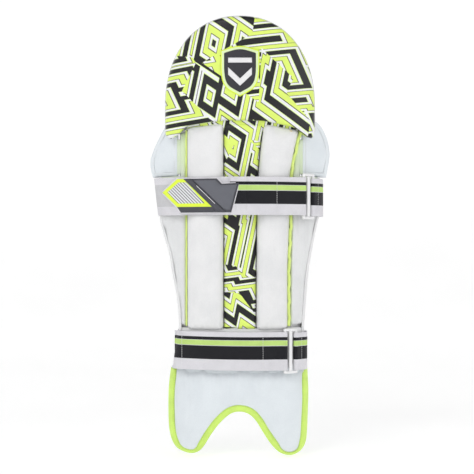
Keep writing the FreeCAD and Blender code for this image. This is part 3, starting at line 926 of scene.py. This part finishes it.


# ---------------------------------------------------------------- seams across the joints

def make_seams():
    """Skins that carry on across each flexing seam, on the leg's side and in front."""
    lining, pale, green = M["lining"], M["pale_pu"], M["green_recess"]
    for name, t, goal, front, slot, x0, x1, low in (
            ("front", 9.6, 4.0, "strip_print", "print", -86, 95, 510),
            ("back", -0.9, 1.0, "lining", "lining", -95.5, 97, 526)):
        strip = resample(box(x0, x1, 502, 552), 4.0)
        skin = pillow("top_hat_seam_" + name, strip, SHIN, t - 0.6, t + 0.7, t, M[front], lining, 4.0, 1.0)
        tilt_to(skin, t, TOP_HAT, goal, low, low + 22)
        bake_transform(skin)
    strip = resample(box(-100, 100, 128, 144), 4.0)
    for name, t in (("front", 10.9), ("back", -0.9)):
        skin = pillow("instep_seam_" + name, strip, SHIN, t - 0.5, t + 0.6, t, pale, lining, 4.0, 1.0)
        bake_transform(skin)
    # The wing seams' fronts take green_recess: painted shade with a painted lime reflection
    for side, sign in (("left", -1), ("right", 1)):
        strip = resample(box(sign * 95, sign * 106, 450, 506), 3.0)
        for name, t in (("front", 9.9), ("back", -0.9)):
            skin = pillow("%s_wing_seam_%s" % (side, name), strip, SHIN, t - 0.5, t + 0.6, t, green,
                          lining, 3.0, 1.0)
            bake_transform(skin)


def tilt_to(obj, t, surface, goal_t, z0, z1):
    """Slides a strip's upper part from offset t of the shin to goal_t of another bent surface."""
    for v in obj.data.vertices:
        x, z = v.co.x / MM, v.co.z / MM
        k = min(max((z - z0) / (z1 - z0), 0), 1)
        k = k * k * (3 - 2 * k)
        v.co.y += float(place(surface, x, z, goal_t)[1] - place(SHIN, x, z, t)[1]) * k


# ---------------------------------------------------------------- straps

RING_LINE = 4.0         # ring bars and webbing, out from the strap's arc
LOOP_RADIUS = 3.5
UPPER_BAND = (383, 444)
PLAIN_STRIPE = 0.06     # a place in the first white stripe, for parts without the others: the loop ends, plain white as painted light in the rings' shaded gaps


def along_arc(arc, xs, out):
    """Plan points (x, y) on a strap's arc."""
    radius = arc[0] + out
    return [np.array([x, arc[1] - math.sqrt(radius * radius - x * x)]) for x in xs]


def round_bar(arc, bar_x, sign):
    """Plan points of a loop over a ring's bar and back under it; sign 1 comes from the left."""
    centre = along_arc(arc, [bar_x], RING_LINE)[0]
    out = (centre - [0, arc[1]]) / (arc[0] + RING_LINE)
    on = np.array([-out[1], out[0]]) * sign
    turn = [centre + LOOP_RADIUS * (math.cos(a) * out + math.sin(a) * on)
            for a in np.radians([0, 45, 90, 135, 180])]
    tail = [centre - on * far + out * rise for far, rise in ((5, -2.9), (10, -2.2), (15, -2.0))]
    lead = [centre - on * far + out * rise for far, rise in ((12, 0.3), (6, 1.8))]
    return lead + turn + tail


def make_ring_bars():
    """The flat middle bar that shows between the two loops on each strap's ring."""
    plastic_mat = M["ring_plastic"]
    for name, arc, middle, low, high in (("upper_ring", UPPER_ARC, 110.9, 380.5, 446),
                                         ("lower_ring", LOWER_ARC, 81.9, 131.5, 197)):
        outline = resample(box(middle - 3.0, middle + 3.0, low, high), 2.5)
        bar = pillow(name + "_bar", outline, arc, 3.0, 6.4, 4.6, plastic_mat, plastic_mat, 2.5, 1.4)
        settle(bar, "shin" if name == "lower_ring" else name)


def strap(name, path, heights, thick, mat, seed, plain=(0, 0), lean=None, tilt=0.0):
    """Woven band along a plan path, with soft edges and a slight ripple, mapped for its stripes.
    plain is the length without stripes at each end, where the band turns round a ring's bar; it is plain
    white as painted light, so that the loops look pale in the ring's shaded gap. lean(x, z) slides points
    sideways and tilt lowers the band towards +x."""
    low, high = heights
    line = smooth(path, 2.5, False)
    along = np.gradient(line, axis=0)
    along /= np.linalg.norm(along, axis=1, keepdims=True)
    out = np.stack([along[:, 1], -along[:, 0]], axis=1)
    gone = np.concatenate([[0], np.cumsum(np.linalg.norm(np.diff(line, axis=0), axis=1))])
    edge = np.array([0, 0.25, 0.7, 1.4])
    up = np.concatenate([edge, np.linspace(5, high - low - 5, 11), (high - low) - edge[::-1]])
    near = np.minimum(up, high - low - up)
    half = thick / 2 * np.sqrt(1 - (1 - np.clip(near / 1.0, 0.12, 1)) ** 2)
    z = low + up
    points, maps = [], []
    for side in (1, -1):
        for i in range(len(line)):
            ripple = 0.22 * wave(gone[i] + 0 * z, z, seed, 34)
            x = line[i, 0] + out[i, 0] * (side * half + ripple)
            y = line[i, 1] + out[i, 1] * (side * half + ripple)
            if lean is not None:
                x = x + lean(line[i, 0], z)
            points.append(np.stack([x, y, z - tilt * line[i, 0]], axis=1) * MM)
            # The plain ends are painted light: plain white loops that lighten the ring's shaded gap
            striped_here = plain[0] <= gone[i] <= gone[-1] - plain[1]
            across = up / (high - low) if striped_here else 0 * up + PLAIN_STRIPE
            maps.append(np.stack([gone[i] * MM + 0 * z, across], axis=1))
    m, n = len(line), len(up)
    faces = []
    for i in range(m - 1):
        for k in range(n - 1):
            a = i * n + k
            faces.append([a, a + n, a + n + 1, a + 1])
            faces.append([m * n + a, m * n + a + 1, m * n + a + n + 1, m * n + a + n])
        for k in (0, n - 1):
            a = i * n + k
            faces.append([a, a + n, m * n + a + n, m * n + a])
    for i in (0, m - 1):
        for k in range(n - 1):
            a = i * n + k
            faces.append([a, a + 1, m * n + a + 1, m * n + a])
    obj = outward(make_mesh(name, np.concatenate(points), faces, [mat]))
    corners = np.empty(len(obj.data.loops), np.int32)
    obj.data.loops.foreach_get("vertex_index", corners)
    corner_map = np.concatenate(maps)[corners].astype(np.float32)
    obj.data.uv_layers.new(name="strap").data.foreach_set("uv", corner_map.ravel())
    return obj


def slant(limit, far, rise, middle):
    """Sideways lean that grows from x = limit to x = far and is rise mm at 30 mm above the middle."""
    def lean(x, z):
        k = min(max((x - limit) / (far - limit), 0), 1)
        return k * rise * (z - middle) / 30
    return lean


def make_straps():
    """Both straps as woven bands, over their CAD bands."""
    white, stripes = M["white_webbing"], M["webbing"]
    landing = [(-113, -16), (-121, -8.5), (-130, 1), (-135.5, 5.5), (-137, 2), (-137.2, -14),
               (-136.6, -29), (-133.6, -36.5), (-129, -41.2)]
    landing += along_arc(UPPER_ARC, range(-122, 61, 14), 0.75)
    band = strap("landing_band", landing, UPPER_BAND, 1.5, M["landing_band"], 2,
                 lean=slant(-118, -132, -3.2, 413.5))
    settle(band, "shin", ["upper_landing_band"])
    upper = along_arc(UPPER_ARC, range(2, 90, 11), RING_LINE) + round_bar(UPPER_ARC, 102.5, 1)
    band = strap("upper_strap_band", upper, UPPER_BAND, 1.9, stripes, 3, (0, 22))
    settle(band, "upper_strap", ["upper_webbing"])
    fixed = round_bar(UPPER_ARC, 118, -1)[:1:-1] + [
        (126.5, -53.5), (133.2, -40), (136, -18), (134.8, 3), (130, 7), (122, -5), (113, -16.5)]
    band = strap("upper_anchor_band", fixed, (381.5, 442.5), 2.0, stripes, 4, (18, 0))
    settle(band, "shin", ["upper_anchor_tab"])
    end = along_arc(UPPER_ARC, (-16, -10, -4, 1.8), RING_LINE)
    band = strap("hook_tab_end", end, UPPER_BAND, 1.9, stripes, 3)
    settle(band, "upper_tab", ["upper_hook_tab"])
    hinge = along_arc(UPPER_ARC, (-7, -4, -1, 2, 5, 8, 11), RING_LINE)
    fold = strap("upper_tab_fold", hinge, UPPER_BAND, 2.3, stripes, 3)
    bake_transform(fold)
    lower = [(-104.8, -9.8), (-105.4, -28), (-104.6, -44), (-101.4, -53)]
    lower += along_arc(LOWER_ARC, range(-95, 60, 14), RING_LINE) + round_bar(LOWER_ARC, 72.5, 1)
    band = strap("lower_strap_band", lower, (133.6, 195.6), 1.9, stripes, 5, (0, 22),
                 slant(-90, -104, 3.8, 164), 0.008)
    settle(band, "shin", ["lower_webbing"])
    fixed = round_bar(LOWER_ARC, 90.5, -1)[:1:-1] + [
        (99.5, -55.5), (106.8, -47), (109.5, -28), (108.8, -7), (101, -12), (92, -21)]
    band = strap("lower_anchor_band", fixed, (132.6, 193.6), 2.0, stripes, 6, (18, 0))
    settle(band, "shin", ["lower_anchor_tab"])
    tab = [(-107, -8.5), (-96, -18.6), (-84, -29), (-68, -39.5), (-52, -47.3)]
    band = strap("lower_hook_band", tab, (134, 194), 2.0, stripes, 7)
    settle(band, "lower_tab", ["lower_hook_tab"])
    ring = resample(BADGE_OUTLINE, 2.5)
    ring = ring - inward(ring) * 1.8
    plain = pillow("hook_tab_face", ring, UPPER_ARC, 2.9, 5.3, 4.0, white, white, 3.0, 1.0)
    settle(plain, "upper_tab")


BADGE_OUTLINE = [(-126, 420), (-101, 396), (-95, 387), (-14, 387), (-1.5, 434), (-29, 432.5), (-37, 441),
                 (-101, 441)]
# Each layer: name, outline, back, face, material
BADGE_LAYERS = [
    ("base", BADGE_OUTLINE, 5.3, 6.6, "badge_dark"),
    ("border", [(-126, 420), (-101, 396), (-42, 396), (-89, 441), (-101, 441)], 6.2, 7.4, "badge_lime"),
    ("field", [(-117.5, 420), (-99, 401.5), (-56, 401.5), (-86, 435.5), (-99, 435.5)],
     6.8, 7.9, "badge_hatch"),
    ("slash", [(-91, 441), (-79, 441), (-22, 387.3), (-36, 387.3)], 6.8, 8.3, "badge_dark"),
    ("panel", [(-74.5, 438.5), (-39, 438.5), (-31, 430.3), (-5, 431.3), (-15.5, 391), (-24.5, 391)],
     6.2, 7.5, "badge_rubber"),
    ("line", [(-71.5, 431), (-69.8, 431), (-38, 400), (-39.7, 400)], 7.8, 8.6, "badge_white")]


def make_badge():
    """The hook tab's moulded badge: pointed tip, lime border, hatched field, dark slash and grey panel."""
    for name, outline, back, face, mat in BADGE_LAYERS:
        ring = resample(outline, 2.5)
        edge = (back + face) / 2
        obj = pillow("badge_" + name, ring, UPPER_ARC, back, face, edge, M[mat], M[mat], 3.0, 0.8)
        settle(obj, "upper_tab", ["upper_badge"] if name == "base" else [])


def upright(arc, x, z0, z1, t):
    z = np.linspace(z0, z1, 30)
    return place(arc, np.full_like(z, x), z, t)


def make_stitching():
    sewn = {"upper_strap": [upright(UPPER_ARC, 59, 386, 441, 5.3)],
            "shin": [upright(LOWER_ARC, 37, 136, 191, 5.3), upright(LOWER_ARC, -94, 138, 194, 5.3)]}
    for body, rows in sewn.items():
        settle(stitches(body + "_stitches", rows, M["thread"], 2.2, 0.8), body)
    anchors = []
    for x, y, low, high in ((126.9, -54.6, 383.5, 440.5), (100.2, -56.4, 134.5, 190.5)):
        z = np.linspace(low, high, 30)
        anchors.append(np.stack([np.full_like(z, x), np.full_like(z, y), z], axis=1) * MM)
    settle(stitches("anchor_stitches", anchors, M["thread"], 2.2, 0.8), "shin")


# ---------------------------------------------------------------- stage

def make_stage():
    """A pale round floor that bends up into a wall, so that every view has the same ground."""
    look = Look("studio_floor")
    look.colour(look.ramp(look.noise(look.coords(), 3, 2), [(0.3, 0.66), (0.7, 0.70)]))
    look.set(Roughness=0.8, Emission_Color=(1, 1, 1, 1), Emission_Strength=0.46)
    low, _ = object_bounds()
    z, radius, bend, high_wall = low.z - 0.002, 4.2, 1.0, 4.5
    profile = [(0.001, z), (1.0, z), (2.2, z)] + [
        (radius - bend + bend * math.sin(a), z + bend - bend * math.cos(a))
        for a in np.linspace(0, math.pi / 2, 12)] + [(radius, high_wall)]
    around = np.linspace(0, 2 * math.pi, 72, endpoint=False)
    points = [(r * math.cos(a), r * math.sin(a), h) for a in around for r, h in profile]
    n, m = len(profile), len(around)
    faces = [[i * n + k, (i + 1) % m * n + k, (i + 1) % m * n + k + 1, i * n + k + 1]
             for i in range(m) for k in range(n - 1)]
    floor = make_mesh("studio_floor", points, faces, [look.mat])
    world = bpy.data.worlds.new("studio")
    bpy.context.scene.world = world
    world.use_nodes = True
    background = world.node_tree.nodes["Background"].inputs
    background[0].default_value = (1, 1, 1, 1)
    background[1].default_value = 0.3
    lamp("key", (-0.9, -1.9, 1.9), (0, 0, 0.38), 1.2, 12)
    lamp("side", (1.9, -1.0, 1.0), (0, 0, 0.35), 1.0, 3.4)
    camera()


def lamp(name, where, target, size, power):
    data = bpy.data.lights.new(name, "AREA")
    data.shape = "DISK"
    data.size = size
    data.energy = power
    obj = bpy.data.objects.new(name, data)
    bpy.context.collection.objects.link(obj)
    obj.location = where
    obj.rotation_euler = (Vector(target) - Vector(where)).to_track_quat("-Z", "Y").to_euler()


def camera():
    """Level with the middle of the pad, straight in front, far enough for little perspective."""
    data = bpy.data.cameras.new("camera")
    obj = bpy.data.objects.new("camera", data)
    bpy.context.collection.objects.link(obj)
    distance, front = 2.6, 0.09
    span = 474 * 1.6 * MM       # the picture's width at the pad's front
    data.sensor_width = 36
    data.lens = data.sensor_width * (distance - front) / span
    obj.location = (-0.0048, -distance, 0.348)
    obj.rotation_euler = (math.pi / 2, 0, 0)
    data.clip_end = 50
    bpy.context.scene.camera = obj
    bpy.context.scene.view_settings.view_transform = "Standard"


carried_over()
make_shin_lining()
make_ankle_panel()
make_side_panels()
make_bolsters()
make_centre_strip()
make_piping()
make_shin_edge()
make_inner_padding()
make_top_hat()
make_wings()
make_instep()
make_seams()
make_straps()
make_ring_bars()
make_badge()
make_stitching()
make_stage()
